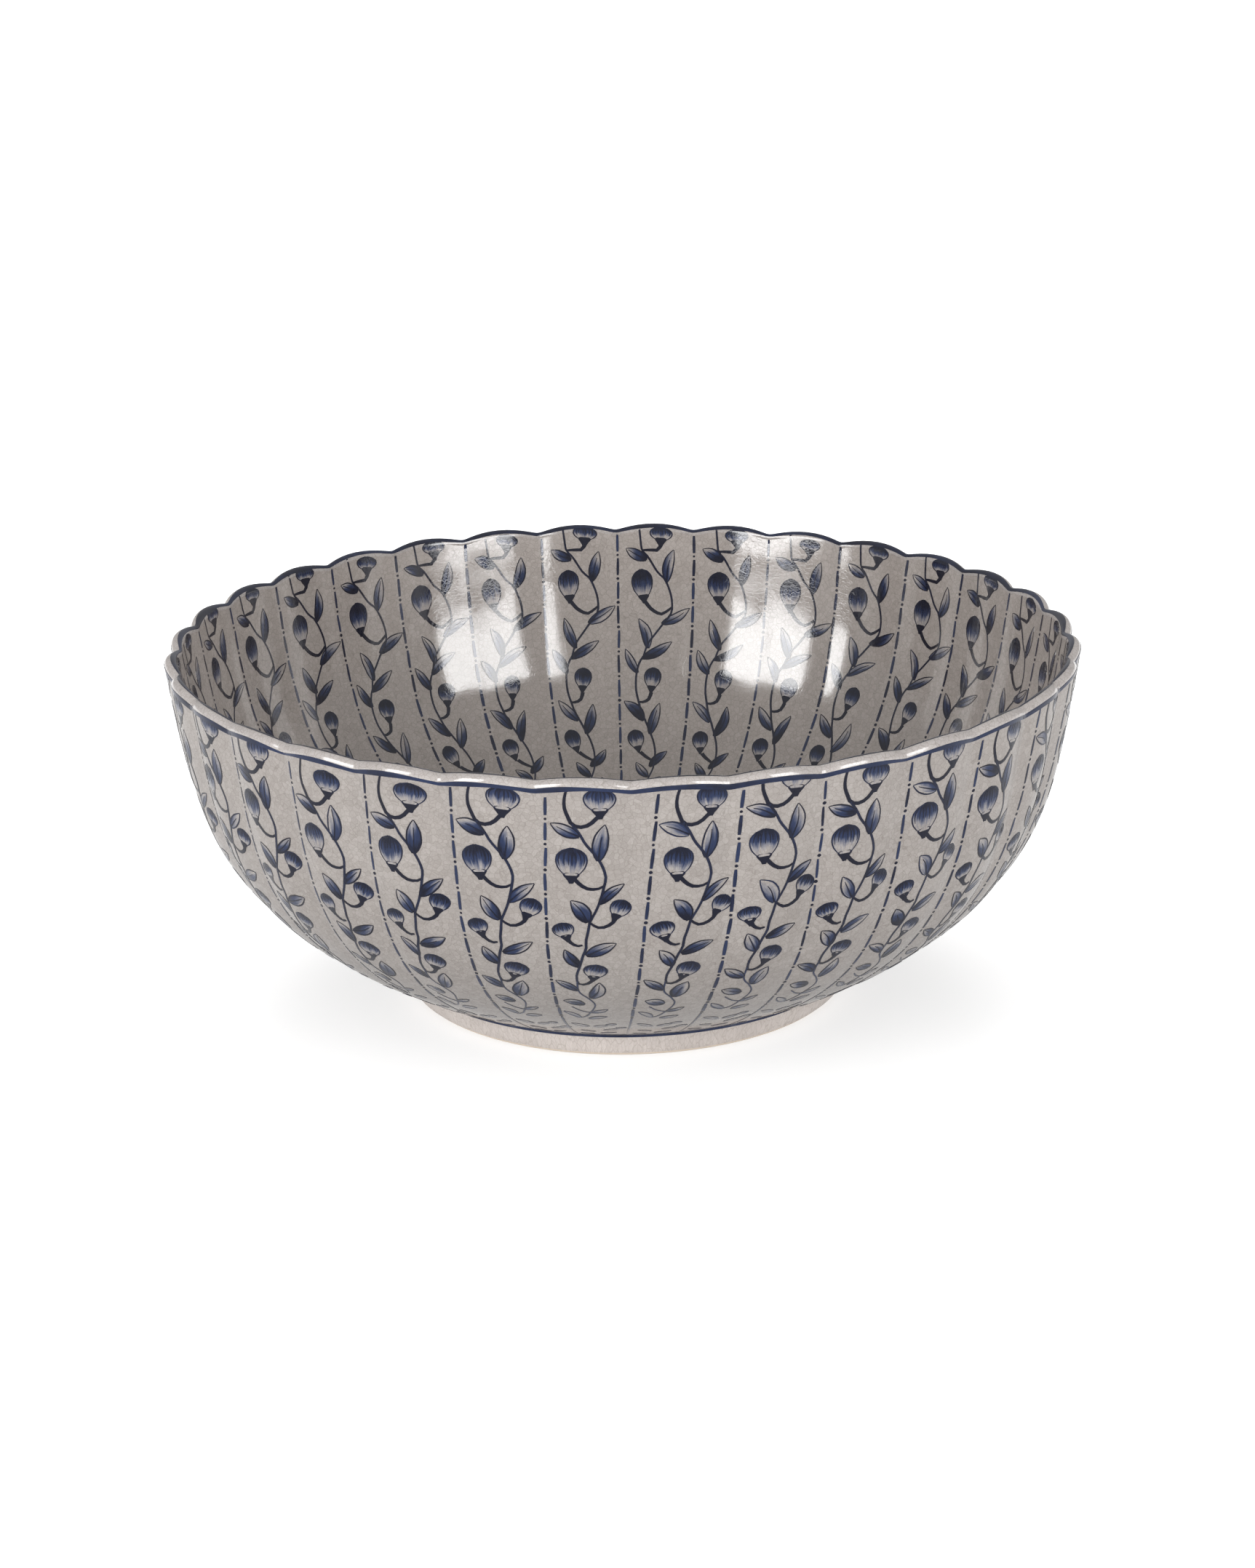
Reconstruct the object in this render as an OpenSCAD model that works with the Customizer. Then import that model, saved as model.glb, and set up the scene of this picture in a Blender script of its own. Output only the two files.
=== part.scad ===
// Fluted porcelain serving bowl: a pressed body on a turned foot ring, under its coats of glaze.
// Millimetres, +Z up. The origin is the centre of the foot's underside, where the bowl stands.
// The body and the glazes are one profile swept round the axis, with 4 facets to each flute.
// The foot ring, the slip and the glazes on the foot are plain turned shapes.

/* [Bowl] */
// Diameter over the crests of the flutes at the rim
rim_d = 330; // [300:1:360]
// Height from the table to the top of the lip
bowl_h = 131; // [115:1:145]
// Number of flutes round the wall
flutes = 32; // [24:2:36]
// How far a flute's crest stands out from the grooves beside it, outside at the rim
flute_depth = 2.2; // [0.5:0.1:3]
// The same on the inside, where the wall is smoother
inner_flute_depth = 0.8; // [0.3:0.1:3]
// How far the lip rises from a groove to a crest
lip_wave = 1.8; // [0:0.1:2.5]

/* [Side curve] */
// Share of the side's run from foot to rim that is a straight flare
flare = 0.21; // [0.1:0.01:0.4]
// How sharply the side turns upward above the foot
belly = 3.7; // [3:0.1:5]

/* [Wall] */
// Thickness of the wall at the lip, with its glaze
lip_t = 4.8; // [4:0.1:6]
// Thickness of the wall where it meets the foot, with its glaze
heel_t = 9; // [7.5:0.1:10]
// Thickness of the floor in the middle, with its glaze
floor_t = 5; // [4:0.1:6]
// Thickness of each coat of glaze
glaze_t = 0.4; // [0.3:0.05:0.6]

/* [Foot] */
// Diameter of the foot ring where it meets the body
foot_top_d = 167.6; // [150:0.1:175]
// Diameter of the foot ring at the table
foot_base_d = 160; // [140:0.1:165]
// Height of the foot ring with the slip under the body
foot_h = 9.5; // [8:0.1:12]
// Width of the foot ring at the table
ring_w = 7; // [6:0.1:9]
// Rounding of the foot ring's two lower edges, which stay bare of glaze
ring_round = 1.4; // [1:0.1:2]
// Thickness of the slip between the foot ring and the body
slip_t = 0.6; // [0.4:0.1:1]
// Radius of the bead of slip in the corner inside the foot ring
slip_bead = 3; // [2:0.1:4]

/* [Hidden] */

// Facets: each flute has its two grooves, its crest and a point half way to each
flute_facets = 4;
columns = flutes * flute_facets;
wall_rows = 9;
lip_rows = 4;
arc_steps = 6;
// Rows lie closer together near the foot, where the side curves most
row_spread = 1.6;
// Rows of the floor, as shares of its radius
floor_rows = [1, 0.92, 0.75];
// A flute fades out towards the foot, and the wave of the lip stays near the lip
flute_fade = 2;
wave_fade = 6;

rim_r = rim_d / 2;
foot_r = foot_top_d / 2;
base_r = foot_base_d / 2;
lip_r = lip_t / 2;
lip_lean = atan(flare * (rim_r - foot_r) / (bowl_h - foot_h));
wall_top = bowl_h - lip_r * (1 + sin(lip_lean));
wall_run = rim_r - foot_r;
wall_rise = wall_top - foot_h;
row_t = [for (i = [0:wall_rows]) pow(i / wall_rows, row_spread)];

// The side's outer curve: t is 0 at the foot and 1 at the lip
function side(t) = [
    foot_r + wall_run * (flare * t + (1 - flare) * (1 - pow(1 - t, belly))),
    foot_h + wall_rise * t
];
function side_slope(t) = [
    wall_run * (flare + (1 - flare) * belly * pow(1 - t, belly - 1)),
    wall_rise
];
// The unit vector that points out of the wall, square to its curve
function outward(t) = let (d = side_slope(t)) [d[1], -d[0]] / norm(d);
function wall_t(t) = heel_t + (lip_t - heel_t) * (1 - pow(1 - t, 2));

// A row is [radius, height, depth of its flutes, height of the lip's wave]
function fluted_row(p, t, depth) = [
    p[0], p[1], depth * (1 - pow(1 - t, flute_fade)), lip_wave * pow(t, wave_fade)
];
function plain_row(r, z) = [r, z, 0, 0];

// Rows of the outside and of the inside, each sunk below the finished surface by a depth
function outer_rows(sunk) = [
    for (t = row_t) fluted_row(side(t) - outward(t) * sunk, t, flute_depth)
];
function inner_rows(sunk) = [
    for (t = row_t)
        fluted_row(side(t) - outward(t) * (wall_t(t) - sunk), t, inner_flute_depth)
];
// Over the top of the lip the flutes keep their outer depth, and fall to the inner one past it
function lip_depth(turn) =
    flute_depth + (inner_flute_depth - flute_depth) * max(0, turn / 90 - 1);
function lip_arc_rows(sunk) =
    let (
        out = outward(1),
        up = [-out[1], out[0]],
        centre = side(1) - out * lip_r
    )
    [
        for (i = [0:lip_rows])
            let (turn = 180 * i / lip_rows)
            fluted_row(centre + (out * cos(turn) + up * sin(turn)) * (lip_r - sunk), 1,
                       lip_depth(turn))
    ];
// The floor runs flat from the middle and turns up to meet the wall's slope at the heel
function floor_surface_rows(sunk) =
    let (
        heel = inner_rows(0)[0],
        slope = side_slope(0)[1] / side_slope(0)[0],
        middle = foot_h + floor_t,
        power = slope * heel[0] / (heel[1] - middle)
    )
    [
        for (i = [1:len(floor_rows) - 1])
            plain_row(heel[0] * floor_rows[i],
                      middle - sunk + (heel[1] - middle) * pow(floor_rows[i], power)),
        plain_row(0, middle - sunk)
    ];

function reversed(list) = [for (i = [len(list) - 1:-1:0]) list[i]];
function joined(lists) = [for (list = lists) each list];
function without_ends(list) = [for (i = [1:len(list) - 2]) list[i]];

// Share of the crest's height at a column: 0 in a groove, 1 on a crest
function crest_share(column) =
    let (across = 2 * (column % flute_facets) / flute_facets - 1)
    1 - across * across;

function swept_point(row, column) =
    let (
        short = 1 - crest_share(column),
        r = row[0] - row[2] * short,
        angle = 360 * column / columns
    )
    [r * cos(angle), r * sin(angle), row[1] - row[3] * short];

// Triangles between two neighbouring rows of points
function band(low, high) = [
    for (j = [0:columns - 1])
        let (k = (j + 1) % columns)
        each [
            [low + j, high + j, high + k],
            [low + j, high + k, low + k]
        ]
];

// A ring-shaped solid: the rows form a closed loop round its section
module swept_ring(rows) {
    count = len(rows);
    points = [for (row = rows, j = [0:columns - 1]) swept_point(row, j)];
    faces = [for (i = [0:count - 1]) each band(i * columns, ((i + 1) % count) * columns)];
    polyhedron(points = points, faces = faces);
}

// A dish-shaped solid: the rows run from the axis below to the axis above
module swept_dish(rows) {
    rings = without_ends(rows);
    count = len(rings);
    ring_points = [for (row = rings, j = [0:columns - 1]) swept_point(row, j)];
    low_tip = count * columns;
    high_tip = low_tip + 1;
    last = (count - 1) * columns;
    tips = [[0, 0, rows[0][1]], [0, 0, rows[count + 1][1]]];
    low_fan = [for (j = [0:columns - 1]) [low_tip, j, (j + 1) % columns]];
    high_fan = [for (j = [0:columns - 1]) [last + j, high_tip, last + (j + 1) % columns]];
    sides = [for (i = [0:count - 2]) each band(i * columns, (i + 1) * columns)];
    polyhedron(points = concat(ring_points, tips), faces = concat(low_fan, sides, high_fan));
}

// Section of the foot: its outer side, its rounded lower edges and its inner side
inner_base_r = base_r - ring_w;
ring_top = foot_h - slip_t;
function foot_side_r(z) = base_r + (foot_r - base_r) * z / foot_h;
function edge_arc(centre, start) = [
    for (i = [0:arc_steps])
        let (turn = start - 90 * i / arc_steps)
        centre + ring_round * [cos(turn), sin(turn)]
];
bead_arc = [
    for (i = [0:arc_steps])
        let (turn = 90 * i / arc_steps)
        [inner_base_r - slip_bead + slip_bead * cos(turn), foot_h - slip_bead + slip_bead * sin(turn)]
];

// The glaze on the foot ends just above the rounded edges
bare_edge = ring_round;

module bowl_body() {
    rows = joined([
        [plain_row(0, foot_h), plain_row(foot_r, foot_h)],
        outer_rows(glaze_t),
        without_ends(lip_arc_rows(glaze_t)),
        reversed(inner_rows(glaze_t)),
        floor_surface_rows(glaze_t)
    ]);
    color("#e6e0d6") swept_dish(rows);
}

module foot_ring() {
    color("#d8cdc0")
        rotate_extrude($fn = 128)
            polygon(joined([
                [[inner_base_r, ring_top]],
                [[foot_side_r(ring_top) - glaze_t, ring_top]],
                edge_arc([base_r - glaze_t - ring_round, ring_round], 0),
                edge_arc([inner_base_r + ring_round, ring_round], -90)
            ]));
}

module luting_slip() {
    color("#cfc4b4")
        rotate_extrude($fn = 128)
            polygon(joined([
                [[foot_r - glaze_t, foot_h], [foot_side_r(ring_top) - glaze_t, ring_top]],
                [[inner_base_r, ring_top]],
                bead_arc
            ]));
}

module outer_glaze() {
    color("#b9b1a2") swept_ring(concat(outer_rows(0), reversed(outer_rows(glaze_t))));
}

module inner_glaze() {
    skin = joined([reversed(inner_rows(0)), floor_surface_rows(0)]);
    under = joined([reversed(inner_rows(glaze_t)), floor_surface_rows(glaze_t)]);
    color("#a39b8c") swept_dish(concat(reversed(under), skin));
}

module lip_glaze() {
    color("#c9c0b2") swept_ring(concat(lip_arc_rows(0), reversed(lip_arc_rows(glaze_t))));
}

module foot_glaze() {
    color("#cdc4b8")
        rotate_extrude($fn = 128)
            polygon([
                [foot_side_r(bare_edge) - glaze_t, bare_edge],
                [foot_side_r(bare_edge), bare_edge],
                [foot_r, foot_h],
                [foot_r - glaze_t, foot_h]
            ]);
}

module base_glaze() {
    // The coat follows the underside, the bead of slip and the ring's inner side
    cavity = [
        for (p = reversed(bead_arc))
            let (centre = [inner_base_r - slip_bead, foot_h - slip_bead])
            p - glaze_t * (p - centre) / slip_bead
    ];
    color("#c6bdae")
        rotate_extrude($fn = 128)
            polygon(joined([
                [[0, foot_h - glaze_t]],
                cavity,
                [[inner_base_r - glaze_t, bare_edge], [inner_base_r, bare_edge]],
                bead_arc,
                [[0, foot_h]]
            ]));
}

bowl_body();
foot_ring();
luting_slip();
outer_glaze();
inner_glaze();
lip_glaze();
foot_glaze();
base_glaze();
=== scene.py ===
"""Fluted porcelain serving bowl: crackle glaze and hand-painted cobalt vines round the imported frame.

Shapes are worked out in millimetres and degrees, and the meshes are made in metres.
The bowl's surface is one line, the profile, that runs from the foot up the outside, over the lip
and down the inside to the middle of the floor, and is swept round the axis with its flutes.
"""
import math
import random

import bpy
import numpy as np
from mathutils import Matrix, Vector


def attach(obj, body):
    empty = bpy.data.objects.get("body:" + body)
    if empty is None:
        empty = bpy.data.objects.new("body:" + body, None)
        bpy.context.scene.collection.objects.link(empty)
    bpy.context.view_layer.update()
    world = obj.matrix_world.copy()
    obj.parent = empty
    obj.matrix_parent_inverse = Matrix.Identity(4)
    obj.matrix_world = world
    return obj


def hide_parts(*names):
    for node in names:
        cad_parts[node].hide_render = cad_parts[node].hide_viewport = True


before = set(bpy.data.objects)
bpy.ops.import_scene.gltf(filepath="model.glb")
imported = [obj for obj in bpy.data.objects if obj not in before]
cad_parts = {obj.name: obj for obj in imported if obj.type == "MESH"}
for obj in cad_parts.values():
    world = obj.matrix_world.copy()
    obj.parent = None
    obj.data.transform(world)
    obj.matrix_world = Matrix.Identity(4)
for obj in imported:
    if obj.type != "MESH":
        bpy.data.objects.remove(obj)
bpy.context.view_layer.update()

MM = 0.001
BODY = "root"

# ---------------------------------------------------------------- the bowl's measures, as in the CAD
RIM_R = 165.0
BOWL_H = 131.0
FLUTES = 32
PITCH = 360 / FLUTES
FLUTE_DEPTH = 2.2
INNER_FLUTE_DEPTH = 0.8
LIP_WAVE = 1.8
FLARE = 0.21
BELLY = 3.7
LIP_T = 4.8
HEEL_T = 9.0
FLOOR_T = 5.0
GLAZE_T = 0.4
FOOT_R = 83.8
BASE_R = 80.0
FOOT_H = 9.5
RING_W = 7.0
RING_ROUND = 1.4
SLIP_T = 0.6
FLUTE_FADE = 2
WAVE_FADE = 6

LIP_R = LIP_T / 2
RUN = RIM_R - FOOT_R
LIP_LEAN = math.atan(FLARE * RUN / (BOWL_H - FOOT_H))
WALL_TOP = BOWL_H - LIP_R * (1 + math.sin(LIP_LEAN))
RISE = WALL_TOP - FOOT_H
# The grooves between the flutes are rounded over this share of half a flute
GROOVE_ROUNDING = 0.09


def side(t):
    """The outer curve of the wall: t is 0 at the foot and 1 at the lip."""
    r = FOOT_R + RUN * (FLARE * t + (1 - FLARE) * (1 - (1 - t) ** BELLY))
    return np.stack([r, FOOT_H + RISE * t], axis=-1)


def outward(t):
    """The direction out of the wall, square to its outer curve."""
    slope_r = RUN * (FLARE + (1 - FLARE) * BELLY * (1 - t) ** (BELLY - 1))
    length = np.hypot(slope_r, RISE)
    return np.stack([RISE / length, -slope_r / length], axis=-1)


def wall_thickness(t):
    """From the foot to the lip, with the glaze."""
    return HEEL_T + (LIP_T - HEEL_T) * (1 - (1 - t) ** 2)


def profile_part(points, out, t, depth):
    """Rows of radius, height, direction out of the surface, flute depth and lip wave."""
    t = np.broadcast_to(t, len(points))
    flute = depth * (1 - (1 - t) ** FLUTE_FADE)
    return np.column_stack([points, out, flute, LIP_WAVE * t**WAVE_FADE])


def floor_part(heel):
    """Rows of the floor, which turns up to meet the wall's slope at the heel."""
    slope = RISE / (RUN * (FLARE + (1 - FLARE) * BELLY))
    middle = FOOT_H + FLOOR_T
    power = slope * heel[0] / (heel[1] - middle)
    share = np.linspace(1, 0, 301)[1:]
    z = middle + (heel[1] - middle) * share**power
    up = np.column_stack([-slope * share ** (power - 1), np.ones_like(share)])
    up /= np.hypot(up[:, 0], up[:, 1])[:, None]
    return profile_part(np.column_stack([heel[0] * share, z]), up, 0, 0)


def whole_profile():
    """The profile as a table of rows, the length along it, and the length at each part's end."""
    t = np.linspace(0, 1, 1201)
    out = outward(t)
    end_out = out[-1]
    end_up = np.array([-end_out[1], end_out[0]])
    turn = np.linspace(0, math.pi, 91)[1:-1]
    arc = end_out * np.cos(turn)[:, None] + end_up * np.sin(turn)[:, None]
    past_top = np.maximum(0, turn / (math.pi / 2) - 1)
    lip_depth = FLUTE_DEPTH + (INNER_FLUTE_DEPTH - FLUTE_DEPTH) * past_top
    inner = side(t) - out * wall_thickness(t)[:, None]
    parts = [
        profile_part(side(t), out, t, FLUTE_DEPTH),
        profile_part(side(1.0) - end_out * LIP_R + arc * LIP_R, arc, 1, lip_depth),
        profile_part(inner[::-1], -out[::-1], t[::-1], INNER_FLUTE_DEPTH),
        floor_part(inner[0]),
    ]
    table = np.vstack(parts)
    steps = np.hypot(np.diff(table[:, 0]), np.diff(table[:, 1]))
    length = np.concatenate([[0], np.cumsum(steps)])
    ends = np.cumsum([len(part) for part in parts])
    return table, length, [length[end - 1] for end in ends]


PROFILE, LENGTH, (RIM_OUT, _, HEEL_IN, MIDDLE) = whole_profile()
RIM_IN = RIM_OUT + math.pi * LIP_R


def profile_rows(s, lift=0.0):
    """Rows of radius, height, flute depth and lip wave at s along the profile."""
    s = np.asarray(s, float)
    r, z, out_r, out_z, flute, wave = (np.interp(s, LENGTH, column) for column in PROFILE.T)
    return np.stack([r + out_r * lift, z + out_z * lift, flute, wave], axis=-1)


def shortfall(angle):
    """How far a point across a flute is below its crest: 1 in a groove and 0 on a crest."""
    from_groove = 1 - np.abs(2 * np.mod(np.asarray(angle) / PITCH, 1) - 1)
    e = GROOVE_ROUNDING
    rounded = (np.sqrt(from_groove**2 + e * e) - e) / (math.sqrt(1 + e * e) - e)
    return (1 - rounded) ** 2


def swept(rows, angle):
    """Points, in metres, of profile rows turned to an angle in degrees."""
    short = shortfall(angle)
    r = rows[..., 0] - rows[..., 2] * short
    z = rows[..., 1] - rows[..., 3] * short
    turn = np.radians(angle)
    return np.stack([r * np.cos(turn), r * np.sin(turn), z], axis=-1) * MM


def on_surface(angle, s, lift=0.0):
    return swept(profile_rows(s, lift), angle)


def surface_normals(angle, s):
    """Directions out of the glaze, from points a small step to each side in degrees or millimetres."""
    small = 0.05
    round_axis = on_surface(angle + small, s) - on_surface(angle - small, s)
    along = on_surface(angle, s + small) - on_surface(angle, s - small)
    normal = np.cross(round_axis, along)
    return normal / np.maximum(np.linalg.norm(normal, axis=-1, keepdims=True), 1e-12)


# ---------------------------------------------------------------- meshes
SHARP_EDGE = math.radians(40)


def new_object(name, vertices, faces, material):
    mesh = bpy.data.meshes.new(name)
    mesh.from_pydata(vertices, [], faces)
    mesh.materials.append(material)
    mesh.shade_smooth()
    mesh.update()
    piece = bpy.data.objects.new(name, mesh)
    bpy.context.scene.collection.objects.link(piece)
    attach(piece, BODY)
    return piece


def fluted_angles(steps_per_flute):
    """Angles round the axis, closer together beside the grooves, where the surface turns most."""
    x = np.arange(steps_per_flute) / steps_per_flute
    across = x - 0.78 * np.sin(2 * math.pi * x) / (2 * math.pi)
    return (np.arange(FLUTES)[:, None] + across).ravel() * PITCH


def swept_mesh(rows, angles, tips=None):
    """A closed solid of rows swept round the axis. Without tips the rows close on themselves.

    With tips, the first and last rows join the two points of the axis at these heights.
    """
    count, columns = len(rows), len(angles)
    points = swept(rows[:, None, :], angles[None, :]).reshape(-1, 3)
    j = np.arange(columns)
    k = (j + 1) % columns
    bands = range(count if tips is None else count - 1)
    faces = []
    for i in bands:
        low, high = i * columns, (i + 1) % count * columns
        faces += np.stack([low + j, low + k, high + k, high + j], axis=1).tolist()
    if tips is not None:
        first, last = len(points), len(points) + 1
        points = np.vstack([points, [[0, 0, tips[0] * MM], [0, 0, tips[1] * MM]]])
        top = (count - 1) * columns
        faces += np.stack([j * 0 + first, k, j], axis=1).tolist()
        faces += np.stack([j * 0 + last, top + j, top + k], axis=1).tolist()
    return points.tolist(), faces


def swept_piece(name, rows, angles, material, tips=None):
    vertices, faces = swept_mesh(rows, angles, tips)
    piece = new_object(name, vertices, faces, material)
    piece.data.set_sharp_from_angle(angle=SHARP_EDGE)
    return piece


def coat_rows(start, end, count, under_count):
    """The section of a coat of glaze: its skin, and its underside where it meets the body."""
    skin = profile_rows(np.linspace(start, end, count))
    under = profile_rows(np.linspace(end, start, under_count), -GLAZE_T)
    return np.vstack([skin, under])


def plain_rows(points):
    points = np.array(points, float)
    return np.column_stack([points, np.zeros((len(points), 2))])


def quarter_arc(centre, radius, start, steps=8):
    """A quarter turn, clockwise from the start angle."""
    turn = np.radians(start - 90 * np.arange(steps + 1) / steps)
    return (np.array(centre) + radius * np.stack([np.cos(turn), np.sin(turn)], axis=1)).tolist()


# ---------------------------------------------------------------- materials
def srgb(red, green, blue):
    """A linear colour from 0 to 255 screen values."""
    def linear(value):
        value /= 255
        return value / 12.92 if value <= 0.04045 else ((value + 0.055) / 1.055) ** 2.4
    return (linear(red), linear(green), linear(blue), 1.0)


class Shader:
    """A material with a Principled shader, and short ways to add nodes to it."""

    def __init__(self, name):
        self.material = bpy.data.materials.new(name)
        self.material.use_nodes = True
        self.nodes = self.material.node_tree.nodes
        self.links = self.material.node_tree.links
        self.surface = self.nodes["Principled BSDF"]
        self.place = self.nodes.new("ShaderNodeTexCoord").outputs["Object"]

    def plug(self, socket, value):
        if isinstance(value, bpy.types.NodeSocket):
            self.links.new(value, socket)
        else:
            socket.default_value = value

    def math(self, operation, *values, clamp=False):
        node = self.nodes.new("ShaderNodeMath")
        node.operation = operation
        node.use_clamp = clamp
        for socket, value in zip(node.inputs, values):
            self.plug(socket, value)
        return node.outputs[0]

    def remap(self, value, low, high, to_low=0.0, to_high=1.0):
        node = self.nodes.new("ShaderNodeMapRange")
        node.interpolation_type = "SMOOTHSTEP"
        names = ("Value", "From Min", "From Max", "To Min", "To Max")
        for name, number in zip(names, (value, low, high, to_low, to_high)):
            self.plug(node.inputs[name], number)
        return node.outputs["Result"]

    def mix(self, share, first, second):
        node = self.nodes.new("ShaderNodeMix")
        node.data_type = "RGBA"
        self.plug(node.inputs["Factor"], share)
        self.plug(node.inputs[6], first)
        self.plug(node.inputs[7], second)
        return node.outputs[2]

    def noise(self, scale, detail=2.0, place=None):
        node = self.nodes.new("ShaderNodeTexNoise")
        node.inputs["Scale"].default_value = scale
        node.inputs["Detail"].default_value = detail
        self.links.new(place or self.place, node.inputs["Vector"])
        return node

    def bent_place(self, amount, scale, place=None):
        """The place, moved a little by noise, so that a pattern's lines aren't ruled."""
        noise = self.noise(scale, 1.0, place)
        node = self.nodes.new("ShaderNodeVectorMath")
        node.operation = "MULTIPLY_ADD"
        self.links.new(noise.outputs["Color"], node.inputs[0])
        node.inputs[1].default_value = (amount, amount, amount)
        self.links.new(place or self.place, node.inputs[2])
        return node.outputs[0]

    def cells(self, cell, place, feature):
        node = self.nodes.new("ShaderNodeTexVoronoi")
        node.feature = feature
        node.inputs["Scale"].default_value = 1 / cell
        self.links.new(place, node.inputs["Vector"])
        return node

    def bump(self, height, distance, strength):
        node = self.nodes.new("ShaderNodeBump")
        node.inputs["Strength"].default_value = strength
        node.inputs["Distance"].default_value = distance
        self.links.new(height, node.inputs["Height"])
        self.links.new(node.outputs["Normal"], self.surface.inputs["Normal"])

    def finish(self, **constants):
        """Set constants straight on the shader's sockets."""
        for name, value in constants.items():
            socket = {"ior": "IOR", "roughness": "Roughness"}[name]
            self.surface.inputs[socket].default_value = value
        return self.material


# The glaze is a warm grey, its fine cracks a little browner. The cells are in metres.
OUTSIDE_PALE = srgb(152, 147, 143)
OUTSIDE_DEEP = srgb(126, 120, 116)
GLAZE_PALE = srgb(160, 153, 148)
GLAZE_DEEP = srgb(135, 128, 123)
CRACK = srgb(98, 90, 84)
CELL = 0.0019
FINE_CELL = 0.0010


def crackle(shader, place=None, cell=CELL, fine_cell=FINE_CELL):
    """Two sizes of cracks as a mask, 1 on a crack, and a tone that differs from cell to cell."""
    bent = shader.bent_place(0.0012, 420, place)
    wide = shader.cells(cell, bent, "DISTANCE_TO_EDGE").outputs["Distance"]
    fine = shader.cells(fine_cell, bent, "DISTANCE_TO_EDGE").outputs["Distance"]
    wide_line = shader.remap(wide, 0.0, 0.075, 1.0, 0.0)
    fine_line = shader.remap(fine, 0.0, 0.10, 0.5, 0.0)
    tone = shader.cells(cell, bent, "F1").outputs["Color"]
    return shader.math("MAXIMUM", wide_line, fine_line), tone


# Shares of the deep colour that come from a cell's tone, the clouds and the grain
TONE_SHARE = 0.5
CLOUD_SHARE = 0.2
GRAIN_SHARE = 0.25
CRACK_STRENGTH = 0.42


def ground_colour(shader, pale, deep):
    """The glaze's colour, pale to deep from place to place, with its cracks."""
    cracks, tone = crackle(shader)
    clouds = shader.noise(38, 4.0).outputs["Fac"]
    cloud_share = shader.remap(clouds, 0.3, 0.7)
    grain = shader.noise(900, 2.0).outputs["Fac"]
    share = shader.math("MULTIPLY", cloud_share, CLOUD_SHARE)
    share = shader.math("MULTIPLY_ADD", tone, TONE_SHARE, share)
    share = shader.math("MULTIPLY_ADD", grain, GRAIN_SHARE, share, clamp=True)
    base = shader.mix(share, pale, deep)
    return shader.mix(shader.math("MULTIPLY", cracks, CRACK_STRENGTH), base, CRACK), cracks


SMOOTH_PATCH = 0.045
DULL_PATCH = 0.11


def gloss(shader, cracks):
    """A glossy glaze, a little duller in patches and on its cracks, with a slow ripple."""
    patches = shader.noise(70, 3.0).outputs["Fac"]
    rough = shader.remap(patches, 0.35, 0.75, SMOOTH_PATCH, DULL_PATCH)
    rough = shader.math("MULTIPLY_ADD", cracks, 0.05, rough)
    shader.plug(shader.surface.inputs["Roughness"], rough)
    ripple = shader.noise(45, 1.0).outputs["Fac"]
    height = shader.math("MULTIPLY_ADD", cracks, -0.02, ripple)
    shader.bump(height, 0.0006, 0.35)


# The inside reflects the softboxes more strongly than the outside does
OUTSIDE_IOR = 1.4
INSIDE_IOR = 1.74


def glaze_material(name, pale, deep, ior=OUTSIDE_IOR):
    shader = Shader(name)
    colour, cracks = ground_colour(shader, pale, deep)
    shader.plug(shader.surface.inputs["Base Color"], colour)
    gloss(shader, cracks)
    return shader.finish(ior=ior)


COBALT_WASH = srgb(73, 81, 102)
COBALT = srgb(27, 38, 66)
COBALT_DARK = srgb(3, 6, 26)
# How much the wash pools and thins from place to place
POOLING = 0.20


def cobalt_material(name, streaks, pale=OUTSIDE_PALE, deep=OUTSIDE_DEEP, ior=OUTSIDE_IOR):
    """Cobalt under the glaze: each vertex says how much wash lies there and where its brush went."""
    shader = Shader(name)
    ground, cracks = ground_colour(shader, pale, deep)
    wash = shader.nodes.new("ShaderNodeAttribute")
    wash.attribute_name = "wash"
    brush = shader.nodes.new("ShaderNodeAttribute")
    brush.attribute_name = "brush"
    hairs = shader.noise(1.0, 2.0, brush.outputs["Vector"]).outputs["Fac"]
    pools = shader.noise(260, 2.0).outputs["Fac"]
    hair_swing = shader.math("SUBTRACT", hairs, 0.5)
    amount = shader.math("MULTIPLY_ADD", hair_swing, streaks, wash.outputs["Fac"])
    pool_swing = shader.math("SUBTRACT", pools, 0.5)
    amount = shader.math("MULTIPLY_ADD", pool_swing, POOLING, amount, clamp=True)
    blue = shader.mix(shader.remap(amount, 0.15, 0.62), COBALT_WASH, COBALT)
    blue = shader.mix(shader.remap(amount, 0.6, 1.0), blue, COBALT_DARK)
    colour = shader.mix(shader.remap(amount, 0.0, 0.55), ground, blue)
    shader.plug(shader.surface.inputs["Base Color"], colour)
    gloss(shader, cracks)
    return shader.finish(ior=ior)


FOOT_PALE = srgb(199, 191, 186)
FOOT_DEEP = srgb(173, 165, 160)
FOOT_CRACK = srgb(136, 124, 114)
FOOT_CELL = 0.0015
FOOT_FINE_CELL = 0.0008
# Heights shrink to this share before the cells are laid, so the cells stand upright
FOOT_CELL_SQUEEZE = 0.32


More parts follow.
